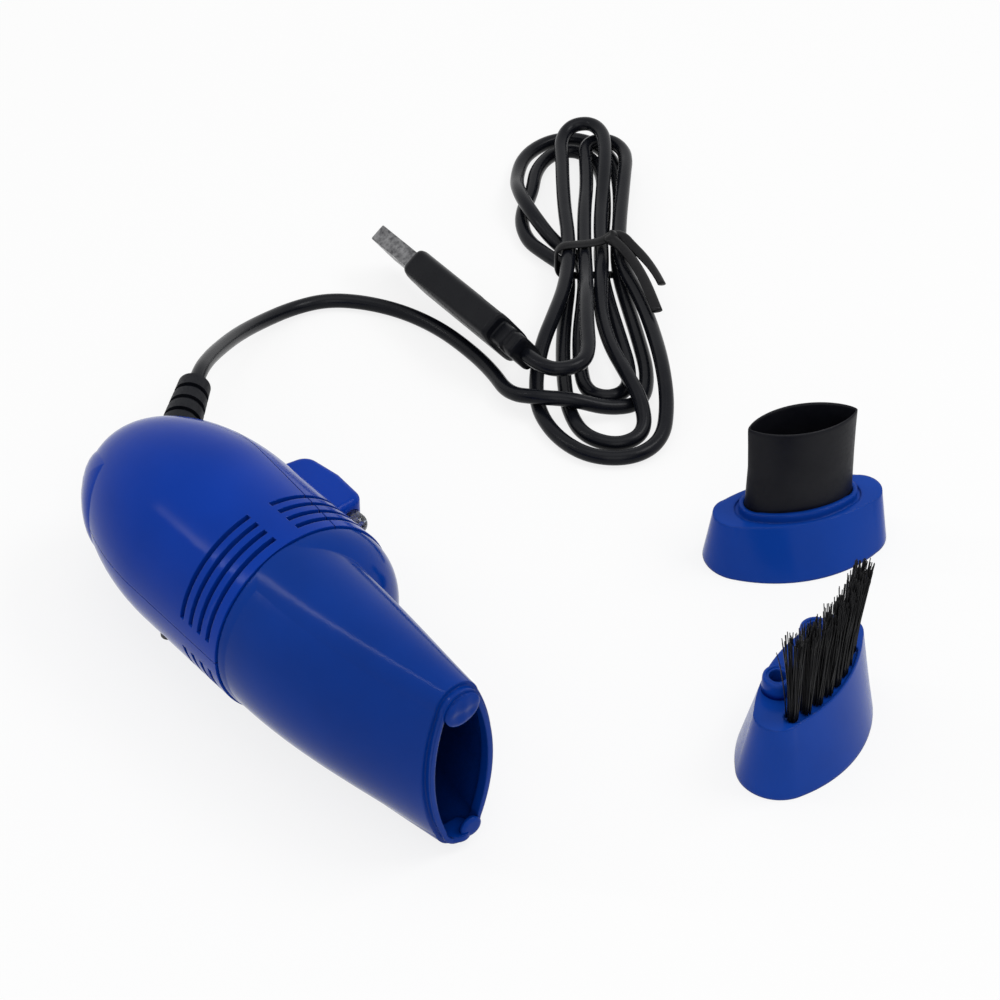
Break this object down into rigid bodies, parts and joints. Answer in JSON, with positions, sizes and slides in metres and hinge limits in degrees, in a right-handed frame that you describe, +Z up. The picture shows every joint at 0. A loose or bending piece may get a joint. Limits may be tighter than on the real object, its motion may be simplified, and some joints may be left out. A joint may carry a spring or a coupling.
{
  "type": "vacuum cleaner",
  "caption": "Small corded hand vacuum lying on its side, with a pull-off nozzle, lamp pod, slotted vents, cable tied in a hank, and loose flat-tube and brush heads.",
  "frame": {"origin": "centre of the bounding box of everything but the cable and what is on it, on the table", "axes": "+X along the vacuum's body towards its mouth, +Y towards the side with the lamp, where the loose heads stand, +Z up"},
  "size_m": [0.2256, 0.2123, 0.046],
  "materials": {
    "body_blue": "glossy",
    "head_blue": "glossy",
    "nozzle_blue": "glossy",
    "black_rubber": "satin",
    "black_cable": "satin",
    "black_plastic": "matte",
    "black_tie": "matte",
    "clear_lamp": "clear",
    "bristle": "matte",
    "steel": "satin",
    "white_plastic": "matte",
    "grey_plastic": "matte",
    "brass": "satin",
    "filter_cloth": "woven",
    "wire_red": "satin"
  },
  "bodies": {
    "housing": {"upper_shell": "body_blue", "lower_shell": "body_blue", "top_cover": "body_blue", "tail_cap": "body_blue", "adaptor_base": "head_blue", "brush_base": "head_blue", "strain_relief": "black_rubber", "cord_free": "black_cable", "cord_hank": "black_cable", "cord_tail": "black_cable", "plug_overmould": "black_plastic", "crevice_tube": "black_plastic", "twist_tie": "black_tie", "switch_body": "black_plastic", "motor_endcap": "black_plastic", "lamp_led": "clear_lamp", "brush_bristles": "bristle", "plug_shell": "steel", "motor_can": "steel", "housing_screws": "steel", "shroud_screws": "steel", "motor_screws": "steel", "plug_tongue": "white_plastic", "plug_contacts": "brass", "motor_terminals": "brass", "fan_shroud": "grey_plastic", "motor_mount": "grey_plastic", "lead_wires": "wire_red"},
    "fan": {"fan_impeller": "white_plastic", "motor_shaft": "steel"},
    "nozzle": {"nozzle": "nozzle_blue", "filter_frame": "grey_plastic", "filter_mesh": "filter_cloth"},
    "switch": {"switch_slider": "black_plastic"}
  },
  "joints": [
    {"name": "fan_spin", "type": "hinge", "parent": "housing", "child": "fan", "pos_m": [-0.01361, -0.05801, 0.023], "axis": [1, 0, 0], "continuous": true},
    {"name": "nozzle_pull", "type": "slide", "parent": "housing", "child": "nozzle", "axis": [1, 0, 0], "range_m": [0, 0.02]},
    {"name": "switch_slide", "type": "slide", "parent": "housing", "child": "switch", "axis": [0.9599, 0.2804, 0], "range_m": [0, 0.003]}
  ]
}
